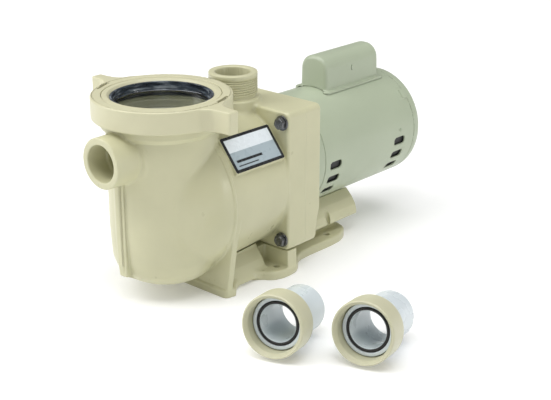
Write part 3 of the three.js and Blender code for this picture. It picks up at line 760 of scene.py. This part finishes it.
def bracket(P):
    inset = 0.15  # hides its front edge inside the casing's flange
    body = crop(polygon(P[:, 1], P[:, 2], FLANGE_OUTLINE) + inset,
                slab(P[:, 0], FLANGE_SPLIT - 20, FLANGE_END), 2.2)
    body = np.maximum(body, FLANGE_SPLIT - 3 - P[:, 0])
    heel = polygon(P[:, 0], P[:, 2], [(FLANGE_END - 12, 30), (FLANGE_END - 5, 80), (FLANGE_END + 1, 100),
                                      (FLANGE_END + 9, 100), (FLANGE_END + 9, 30)])
    body = crop(body, -heel, 1.5)
    body = crop(body, -rod(P, "x", SHAFT, 88, 20, 90), 1)
    for at in BOLTS:
        body = np.maximum(body, -rod(P, "x", at, 5.3, 30, 73))
    return body


shaped("motor_bracket", bracket, (FLANGE_SPLIT - 3, -FLANGE_HALF, SHAFT_Z - FLANGE_HALF),
       (FLANGE_END, FLANGE_HALF, SHAFT_Z + FLANGE_HALF), 1.9, "pump", "almond_plastic")

FOOT_SIDE = smooth([(-104, 101), (-96, 94), (-76, 78), (-55, 75), (-36, 90), (-24, 105), (-5, 112), (20, 111),
                    (38, 102), (52, 90), (76, 84), (144, 84), (173, 80), (196, 67), (206, 46)], 4)
FOOT_FRONT = rounded([(-100, 0), (-122, 0), (-122, 98), (-104, 101.5)], [0, 0, 7, 0], closed=False)[1:-1]
FOOT_OUTLINE = FOOT_FRONT + FOOT_SIDE
FOOT_OUTLINE = FOOT_OUTLINE + [(x, -y) for x, y in reversed(FOOT_OUTLINE)]
FOOT_HOLES = [(x, s * y) for x, y in ((-3, 93), (151, 67)) for s in (-1, 1)]
FOOT_T, SEAT_Z = 14, 41.7  # the base's thickness, and the pedestals' top under the flange


def foot(P):
    z = P[:, 2]
    base = crop(polygon(P[:, 0], P[:, 1], FOOT_OUTLINE), slab(z, -10, FOOT_T), 3.5)
    apron = prism(P, "x", mirrored([(-97, 22), (-99, 5)]), RIDGE_X + 2, RIDGE_X + 12, 1)
    cradle = prism(P, "x", mirrored([(-88, 5), (-76, 28), (-64, 44), (-58, 60)]), -112, -16, 2)
    pedestal = prism(P, "x", mirrored([(-112, 5), (-111, SEAT_Z)]), 3, 24, 1.5)
    web = prism(P, "x", mirrored([(-62, 5), (-62, SEAT_Z)]), -20, 66, 1.5)
    saddle = mirrored([(-46, 5), (-46, 31), (-71, 31), (-71, 37), (-68, 48), (-60, 60), (-46, 74)])
    saddle = prism(P, "x", rounded(saddle, [0, 6, 2, 2, 5, 5, 0, 0, 5, 5, 2, 2, 6, 0]), 79, 226, 2.5)
    saddle = crop(saddle, -block(P, (194, -60, 0), (240, 60, 31)), 1.5)
    body = fillet(base, apron, 3)
    for part, r in ((cradle, 5), (pedestal, 3), (web, 4), (saddle, 7)):
        body = fillet(body, part, r)
    drum = turned(P, "x", DRUM_AXIS, [(r and r + 1.5, x) for r, x in DRUM[:-2]]
                  + [(DRUM_R + 1.5, FLANGE_X + 0.3), (0, FLANGE_X + 0.3)])
    pot = turned(P, "z", POT, [(0, 24), (50, 24), (76, 36), (83, 60), (85, 190), (0, 190)])
    body = crop(body, -np.minimum(drum, pot), 0.8)
    body = crop(body, -rod(P, "x", SHAFT, MOTOR_R + 0.5, 60, 240), 1.0)
    body = np.maximum(body, -block(P, (3, -130, SEAT_Z), (90, 130, 60)))
    for x0, x1, top in ((-104, -58, 18), (-50, -14, 18), (14, 58, 30), (90, 186, 40)):
        for y0, y1 in ((-40, -6), (6, 40)):
            body = crop(body, -block(P, (x0, y0, -20), (x1, y1, top), 3), 1)
    for x, y in FOOT_HOLES:
        body = crop(body, -rod(P, "z", (x, y), 5, -20, 60), 0.8)
    return np.maximum(body, -z)


shaped("foot", foot, (FOOT_LOW[0], -113, 0), (FOOT_HIGH[0], 113, FOOT_HIGH[2]), 1.8,
       "pump", "almond_plastic")

# ---- lid, rings and basket ----

RING_R, RING_Z0, RING_Z1 = 104, RING_LOW[2], RING_HIGH[2]
HANDLE_R = RING_HIGH[1]


def clamp_ring(P):
    Q = P - np.array([POT_X, 0, 0])
    section = rounded([(88.2, 303.5), (88.2, RING_Z1), (RING_R, RING_Z1), (RING_R, RING_Z0), (94, RING_Z0),
                       (94, 303.5)], [0.5, 1.2, 3.2, 1.5, 1, 1])
    ring = turned(Q, "z", (0, 0), section)
    s = np.where(Q[:, 1] < 0, -1.0, 1.0)
    flank = smooth([(-44, 88), (-30, 99), (-20, 106), (-13, 115), (-10, 127), (-9, HANDLE_R - 2)], 4)
    outline = mirrored(flank + [(-7.5, HANDLE_R)])
    handle = crop(polygon(Q[:, 0], Q[:, 1] * s, outline), slab(Q[:, 2], RING_Z0, RING_Z1 - 0.4), 2.0)
    handle = np.maximum(handle, -rod(Q, "z", (0, 0), 96, 0, 400))
    body = fillet(ring, handle, 3)
    for degrees in (-69, 111):
        a = radians(degrees)
        T = np.stack([Q[:, 0] * cos(a) + Q[:, 1] * sin(a),
                      Q[:, 1] * cos(a) - Q[:, 0] * sin(a), Q[:, 2]], 1)
        body = crop(body, -block(T, (94.6, -18, 296), (98.4, 18, 320), 1.2), 0.6)
    groove = turned(Q, "z", (0, 0), rounded([(100, RING_Z1 - 0.9), (101.2, RING_Z1 - 0.9),
                                             (101.2, 320), (100, 320)], 0.4))
    return crop(body, -groove, 0.4)


shaped("clamp_ring", clamp_ring, RING_LOW, RING_HIGH, 1.3, "clamp", "clamp_plastic")

POT_AXIS = along("z", POT_X)
INNER_RING = rounded([(76.4, 295.4), (87, 294.4), (87.6, 309.8), (79.5, 309.8), (76.4, 306.6)],
                     [0.6, 0.6, 1.2, 1.5, 0.8])
turned_piece("clamp_inner_ring", INNER_RING, "lid", "clamp_plastic", POT_AXIS, segments=160, sharp=40)


def ring_profile(r, tube, h):
    """The round section of an O-ring."""
    n = 20
    return [(r + tube * cos(2 * pi * k / n), h + tube * sin(2 * pi * k / n)) for k in range(n)]


LID_WALL_R, LID_TOP = 71.5, 293.2
LID = ([(0, 288.3), (60, 288.3), (84, 288.3), (85, 289.3), (85, 293.4), (84.4, 294)]
       + rounded([(84.4, 294), (76.05, 294.9), (76.05, 307), (72.6, 307), (72.6, 293), (50, 293)],
                 [0, 1.2, 0.9, 0.9, 2.2, 0], closed=False)[1:] + [(30, 293.2), (0, 293.3)])
lid = turned_piece("strainer_lid", LID, "lid", "clear_lid", POT_AXIS, segments=160, sharp=40)
# the faces of the lid's upright wall take the second finish, a painted reflection of dark blue-grey with bright
# streaks
lid.data.materials.append(LID_WALL_PAINTED_REFLECTION)
for face in lid.data.polygons:
    out = hypot(face.center.x * MM - POT_X, face.center.y * MM)
    if out > LID_WALL_R and face.center.z * MM > LID_TOP:
        face.material_index = 1
turned_piece("lid_oring", ring_profile(80, 1.8, 286.1), "lid", "black_rubber", POT_AXIS, segments=128)


def applied(made, *modifiers):
    """Gives a piece the mesh that modifiers, given as (kind, values), make of it."""
    for kind, values in modifiers:
        m = made.modifiers.new(kind.lower(), kind)
        for k, v in values.items():
            setattr(m, k, v)
    graph = bpy.context.evaluated_depsgraph_get()
    result = bpy.data.meshes.new_from_object(made.evaluated_get(graph), depsgraph=graph)
    made.modifiers.clear()
    made.data, old = result, made.data
    result.name = made.name
    bpy.data.meshes.remove(old)


def basket_mesh():
    """A tapering cup, pierced all round and underneath, on a grid of ribs."""
    columns, low, high = 144, 93.5, 262
    levels = [low, 102] + [v for k in range(11) for v in (102 + 13 * k + 3.2, 102 + 13 * k + 13)] + [high]
    points, faces = [], []

    def radius(z):
        return 55.5 + 13 * (z - low) / (high - low)

    def row(r, z):
        start = len(points)
        points.extend(circle(r, z, columns))
        return start

    def band(a, b, pierced):
        for k in range(columns):
            if pierced and k % 3 == 0:
                continue
            m = (k + 1) % columns
            faces.append([a + k, a + m, b + m, b + k])

    circles = [6, 10, 16, 20, 26, 30, 36, 40, 46, 50, radius(low)]
    rows = [row(r, low) for r in circles]
    for i, (a, b) in enumerate(zip(rows, rows[1:])):
        band(a, b, i % 2 == 1 and i > 2)
    centre = len(points)
    points.append((0, 0, low))
    faces.extend([centre, rows[0] + k, rows[0] + (k + 1) % columns] for k in range(columns))
    walls = [rows[-1]] + [row(radius(z), z) for z in levels[1:]]
    for i, (a, b) in enumerate(zip(walls, walls[1:])):
        band(a, b, i >= 2 and i % 2 == 0 and i < len(walls) - 2)
    points = np.array(points) + np.array([POT_X, 0, 0])
    return new_mesh("strainer_basket", points, faces)


basket = piece("strainer_basket", basket_mesh(), "basket", "basket_plastic")
applied(basket, ("SOLIDIFY", {"thickness": 0.0026, "offset": 0.0}),
        ("BEVEL", {"width": 0.0004, "segments": 1}))
BASKET_RIM = rounded([(66.4, 261), (69.8, 261), (70.4, 262), (74, 262), (74, 266), (66.6, 266)],
                     [0.6, 0.4, 0.4, 1, 1, 1])
turned_piece("basket_rim", BASKET_RIM, "basket", "basket_plastic", POT_AXIS, segments=128)


def bail_mesh():
    """The handle, folded against the inside of the rim on its far half."""
    section = rounded([(61.2, 258.2), (67.2, 258.2), (67.2, 263.6), (61.2, 263.6)], 1.6, 3)
    rows, points = 49, []
    for i in range(rows):
        a = pi * i / (rows - 1)
        points += [(POT_X + r * cos(a), r * sin(a), h) for r, h in section]
    faces = band_faces(rows, len(section)) + cap_faces(rows, len(section))
    return solid_mesh("basket_bail", points, faces, 50)


piece("basket_bail", bail_mesh(), "basket", "basket_plastic")

# ---- name plate ----


def plate_mesh():
    """A thin film with rounded corners on its flat pad."""
    outline = rounded([(-LABEL_W / 2, -LABEL_H / 2), (LABEL_W / 2, -LABEL_H / 2), (LABEL_W / 2, LABEL_H / 2),
                       (-LABEL_W / 2, LABEL_H / 2)], 3.0, 6)
    side, up, out, middle = label_frame()
    rings = [(1.0, -0.55), (1.0, -0.1), (0.998, 0.0)] + [(k, 0.0) for k in (0.9, 0.7, 0.5, 0.3, 0.1)]
    n, points, uvs = len(outline), [], []
    for scale, lift in rings:
        for u, v in outline:
            points.append(middle + side * u * scale + up * v * scale + out * lift)
            uvs.append((0.5 + u * scale / LABEL_W, 0.5 + v * scale / LABEL_H))
    mesh = solid_mesh("name_plate", points, band_faces(len(rings), n) + cap_faces(len(rings), n), 40)
    layer = mesh.uv_layers.new(name="UVMap")
    for loop in mesh.loops:
        layer.data[loop.index].uv = uvs[loop.vertex_index]
    return mesh


piece("name_plate", plate_mesh(), "pump", "plate_film")

# ---- motor ----

SHELL_X, SHELL_END = SHELL_LOW[0], SHELL_HIGH[0]
SHELL_INNER = 89.7
VENT_HALF, VENT_CORNER = np.array([14, 6.6]), 4.5
SHAFT_AXIS = along("x", 0, 0, SHAFT_Z)
VENTS = [(x, radians(a)) for x in (142, 312) for d in (-6, -22, -38) for a in (180 - d, d)]


def radial(P, x, angle):
    """Coordinates along the shaft, round it and out from it, at a place on the motor."""
    y, z = P[:, 1], P[:, 2] - SHAFT_Z
    return np.stack([P[:, 0] - x, z * cos(angle) - y * sin(angle),
                     y * cos(angle) + z * sin(angle)], 1)


def motor_shell(P):
    d, x = around(P, "x", SHAFT)
    body = np.maximum(crop(d - MOTOR_R, slab(x, SHELL_X, SHELL_END), 0.8), SHELL_INNER - d)
    for vx, angle in VENTS:
        T = radial(P, vx, angle)
        q = np.maximum(np.abs(T[:, :2]) - (VENT_HALF - VENT_CORNER), 0)
        hole = np.maximum(np.linalg.norm(q, axis=1) - VENT_CORNER, 60 - T[:, 2])
        body = crop(body, -hole, 1.0)
    T = radial(P, SHELL_END - 6, radians(138))
    body = fillet(body, block(T, (-6, -9, MOTOR_R - 2.5), (5.6, 9, MOTOR_R + 2.6), 1.2), 1.5)
    T = radial(P, 313, pi - radians(6))
    return crop(body, 3.2 - np.linalg.norm(T - np.array([0, 0, MOTOR_R + 1.0]), axis=1), 0.6)


shaped("motor_shell", motor_shell, (SHELL_X, -MOTOR_R - 3, SHAFT_Z - MOTOR_R),
       (SHELL_END, MOTOR_R, SHAFT_Z + MOTOR_R + 3), 1.75, "pump", "motor_enamel")
FRONT_BELL = rounded([(20.6, 78.3), (MOTOR_R - 4, 78.3), (MOTOR_R - 0.5, 82.5),
                      (MOTOR_R - 0.5, SHELL_X - 0.3), (84, SHELL_X - 0.3), (84, 88), (30, 88), (28, 112),
                      (20.6, 112)],
                     [0, 3, 3, 0.6, 0, 2, 2, 1, 1])
turned_piece("motor_front_bell", FRONT_BELL, "pump", "bell_enamel", SHAFT_AXIS, segments=128)


SCREW_CIRCLE = 68


def rear_cover(P):
    end = REAR_HIGH[0]
    back = smooth([(70, end), (80, end - 1.4), (87, end - 5), (91.5, end - 10.5), (MOTOR_R, end - 17)], 4)
    inside = [(MOTOR_R, REAR_LOW[0]), (90, REAR_LOW[0]), (90, 361), (86, 367), (80, 371), (0, 372)]
    groove = rounded([(22, end - 1.2), (60, end - 1.2), (60, end + 9), (22, end + 9)], 1)
    shell = turned(P, "x", SHAFT, [(0, end)] + back + inside)
    shell = crop(shell, -turned(P, "x", SHAFT, groove), 0.6)
    for k in range(4):
        a = radians(45 + 90 * k)
        y, z = SCREW_CIRCLE * cos(a), SHAFT_Z + SCREW_CIRCLE * sin(a)
        shell = crop(shell, -rod(P, "x", (y, z), 2.7, 350, 390), 0.4)
    return shell


shaped("rear_cover", rear_cover, REAR_LOW, REAR_HIGH, 1.7, "pump", "bell_enamel")


def hexagon(name, across, height, chamfer, place):
    """A bolt head: six flats, its outer face chamfered to a circle."""
    points, n = [], 48
    apothem = across * cos(pi / 6)
    rows = ((0, 1e9), (height - chamfer, 1e9), (height - chamfer * 0.4, apothem + chamfer * 0.6),
            (height, apothem - 0.2), (height, apothem - 2.2), (height - 0.5, apothem - 3.0),
            (height - 0.5, 0.01))
    for h, limit in rows:
        for k in range(n):
            a = 2 * pi * k / n
            flat = apothem / cos((a + pi / 6) % (pi / 3) - pi / 6)
            r = min(flat, limit)
            points.append((r * cos(a), r * sin(a), h))
    points = np.array([place @ Vector(p) for p in points])
    return solid_mesh(name, points, band_faces(len(rows), n) + cap_faces(len(rows), n), 28)


WASHER = rounded([(5.3, FLANGE_X - 2.5), (11.8, FLANGE_X - 2.3), (11.8, FLANGE_X - 0.1),
                  (5.3, FLANGE_X - 0.1)], [0.3, 0.6, 0.2, 0.2], 3)
for i, (sy, sz) in enumerate(((-1, 1), (1, 1), (-1, -1), (1, -1))):
    y, z = sy * BOLT_Y, SHAFT_Z + sz * BOLT_Z
    head = Matrix.Translation((FLANGE_X - 2.6, y, z)) @ Matrix.Rotation(-pi / 2, 4, "Y")
    head = head @ Matrix.Rotation(0.4 + i, 4, "Z")  # no two bolts stop at the same turn
    name = f"flange_bolt_{i + 1}"
    piece(name, hexagon(name, 9.6, 6.8, 1.6, head), "pump", "dark_steel")
    turned_piece(f"flange_washer_{i + 1}", WASHER, "pump", "dark_steel", along("x", 0, y, z), segments=48)
for i in range(4):
    name = f"rear_screw_{i + 1}"
    low, high = span(name)
    place = along("x", high[0] - 5.2, (low[1] + high[1]) / 2, (low[2] + high[2]) / 2)
    piece(name, hexagon(name, 5.6, 5.2, 1.0, place), "pump", "bright_steel")

CX0, CX1 = COVER_LOW[0] + 7.5, COVER_HIGH[0] - 6
COVER_TOP = COVER_HIGH[2] - 1
COVER_FOOT, COVER_CROWN = 29.0, 26.5
SLIT_X, SLIT_Z = 258, 272


def cover_outline(inset, low, r):
    """The cover's section: its sides lean in a little under a round crown."""
    a, b = COVER_FOOT - inset, COVER_CROWN - inset
    return rounded([(-a, low), (a, low), (b, COVER_TOP - inset), (-b, COVER_TOP - inset)], [0, 0, r, r], 8)


def capacitor_cover(P):
    low = SHAFT_Z + 84
    y, z = P[:, 1], P[:, 2]
    shell = crop(polygon(y, z, cover_outline(0, low - 20, 24)), slab(P[:, 0], CX0, CX1), 6)
    x0, y0, x1, y1 = COVER_LOW[0], COVER_LOW[1], COVER_HIGH[0], COVER_HIGH[1]
    lip = polygon(P[:, 0], y, rounded([(x0, y0), (x1, y0), (x1, y1), (x0, y1)], 8))
    lip = crop(lip, slab(z, low - 20, low + 7), 1.5)
    body = fillet(lip, shell, 3)
    room = crop(polygon(y, z, cover_outline(3, low - 30, 21)), slab(P[:, 0], CX0 + 3, CX1 - 3), 3)
    slit = block(P, (SLIT_X - 0.9, -COVER_FOOT - 6, SLIT_Z - 4.5),
                 (SLIT_X + 0.9, -COVER_FOOT + 3.4, SLIT_Z + 4.5), 0.7)
    body = crop(body, -slit, 0.4)
    body = crop(body, -rod(P, "x", SHAFT, MOTOR_R + 0.3, 100, 400), 0.6)
    return np.maximum(body, -room)


shaped("capacitor_cover", capacitor_cover, COVER_LOW, COVER_HIGH, 1.5, "pump", "motor_enamel")
COVER_SCREW = [(0, -3), (2, -3), (2, -0.4), (4.2, -0.4), (4.2, 0.9), (3.4, 1.9), (1.4, 2.4), (0.9, 1.6),
               (0, 1.6)]
for i in (1, 2):
    low, high = span(f"cover_screw_{i}")
    place = along("y", (low[0] + high[0]) / 2, COVER_FOOT - 1.0, (low[2] + high[2]) / 2)
    turned_piece(f"cover_screw_{i}", COVER_SCREW, "pump", "bright_steel", place, segments=32)

# ---- unions ----

NUT = rounded([(38.6, 6.2), (42.4, 0.8), (43.6, 0), (45.2, 1.6), (45.5, 5), (45.5, 36.5), (43.5, 40),
               (35.2, 40), (35.2, 34.9), (38.6, 33.6)], [2, 0.8, 0.8, 1.0, 3, 3, 1.5, 0.8, 0.5, 0.5])
TAILPIECE = rounded([(26.5, 21.2), (27.2, 20), (27.2, 24.5), (32, 24.5), (32, 20), (37.2, 20), (37.2, 33),
                     (34.5, 34.5), (34.5, 107), (31, 107), (30.4, 64), (26.5, 60)],
                    [0.3, 0.3, 0.3, 0.3, 0.5, 0.8, 0.8, 1, 1.2, 1, 1, 2])
JOINTS = {j["name"]: j for j in frame["joints"]}
for n in (1, 2):
    joint = JOINTS[f"nut_{n}_spin"]
    axis = Vector(joint["axis"]).normalized()
    side = axis.cross(Vector((0, 0, 1))).normalized()
    up = side.cross(axis)
    place = Matrix.Translation(Vector(joint["pos_m"]) * MM) @ Matrix(
        ((side.x, -up.x, axis.x), (side.y, -up.y, axis.y), (side.z, -up.z, axis.z))).to_4x4()
    turned_piece(f"union_nut_{n}", NUT, f"nut_{n}", "olive_plastic", place, segments=144, sharp=45)
    turned_piece(f"union_tailpiece_{n}", TAILPIECE, f"union_{n}", "white_pvc", place, segments=128, sharp=45)
    turned_piece(f"union_oring_{n}", ring_profile(29.5, 2.1, 21.6), f"union_{n}", "black_rubber", place,
                 segments=128)

# ---- small parts on the far side ----


def plug(drain):
    """A knurled head with a wing, and its shank in the hole."""
    x, z, _, face = drain

    def field(P):
        Q = P - np.array([x, face, z])
        head = rod(Q, "y", (0, 0), 13, 3.3, 7.6, 1.0)
        spin = np.arctan2(Q[:, 2], Q[:, 0])
        head = head + 0.25 * np.cos(spin * 24) * (Q[:, 1] > 2)
        wing = block(Q, (-11, 6, -2.5), (11, 15.5, 2.5), 1.6)
        return fillet(fillet(head, wing, 1.2), rod(Q, "y", (0, 0), 7.9, -9, 5, 0.8), 0.5)
    return field


for name, body in (("drain_plug_pot", "pot_plug"), ("drain_plug_volute", "volute_plug")):
    shaped(name, plug(DRAINS[name]), *span(name), 0.8, body, "black_plastic")

for part in frame["record"]["subparts"]:
    node = frame["nodes"][part["node"]]
    if not node.hide_render:
        for holder in node.material_slots:
            holder.material = FINISH[part["material_slot"]]

# ---- camera, light, floor ----


def lamp(name, size, power, at):
    """A square softbox facing the pump."""
    data = bpy.data.lights.new(name, "AREA")
    data.size, data.energy = size, power
    made = linked(name, data)
    made.location = at
    made.rotation_euler = (Vector((0.03, 0, 0.15)) - Vector(at)).to_track_quat("-Z", "Y").to_euler()


def wide(name, strength, spread, direction):
    """A broad even light from one side of the sky, which the whole floor gets too."""
    data = bpy.data.lights.new(name, "SUN")
    data.energy, data.angle = strength, radians(spread)
    made = linked(name, data)
    made.rotation_euler = (-Vector(direction)).to_track_quat("-Z", "Y").to_euler()


def studio():
    scene = bpy.context.scene
    scene.view_settings.view_transform = "Standard"
    world = bpy.data.worlds.new("studio")
    scene.world = world
    world.use_nodes = True
    back = world.node_tree.nodes["Background"]
    back.inputs["Color"].default_value = (1.0, 1.0, 0.985, 1)
    back.inputs["Strength"].default_value = 0.18
    lamp("front", 0.5, 8.4, (0.75, -2.45, 0.75))
    lamp("left", 1.0, 15, (-1.7, 1.8, 1.0))
    lamp("high_left", 1.1, 12, (-1.4, 1.0, 2.0))
    lamp("over_camera", 0.6, 6.5, (-0.9, -0.9, 2.3))
    lamp("right", 1.3, 2.5, (1.7, -1.9, 1.0))
    wide("sky", 1.9, 60, (0.02, -0.1, 1))
    wide("sky_left", 0.7, 45, (-1.4, 1.0, 2.0))


def floor():
    mesh = bpy.data.meshes.new("floor")
    far = 150  # metres, so that no low view sees the floor's edge
    mesh.from_pydata([(-far, -far, 0), (far, -far, 0), (far, far, 0), (-far, far, 0)], [], [(0, 1, 2, 3)])
    made = linked("floor", mesh)
    n = Nodes("floor_white")
    n.shader(Base_Color=(0.86, 0.86, 0.86, 1), Roughness=0.9, Emission_Color=(1, 1, 1, 1),
             Emission_Strength=0.18)
    n.material.cycles.emission_sampling = "NONE"
    mesh.materials.append(n.material)


def camera():
    """Stands where the photograph was taken from, as fitted to it."""
    focal_pixels, frame_pixels, distance = 1251.25, 551, 2.07341
    data = bpy.data.cameras.new("camera")
    data.sensor_width, data.lens = 36, 36 * focal_pixels / frame_pixels
    data.clip_end = 400
    made = linked("camera", data)
    azimuth, height, roll = radians(-47.97), radians(20.86), radians(-0.03)
    level = cos(height)
    back = Vector((sin(azimuth) * level, -cos(azimuth) * level, sin(height)))
    made.location = Vector((0.09757, 0, 0.07286)) + back * distance
    turn = back.to_track_quat("Z", "Y").to_matrix() @ Matrix.Rotation(roll, 3, "Z")
    made.rotation_euler = turn.to_euler()
    bpy.context.scene.camera = made


studio()
floor()
camera()
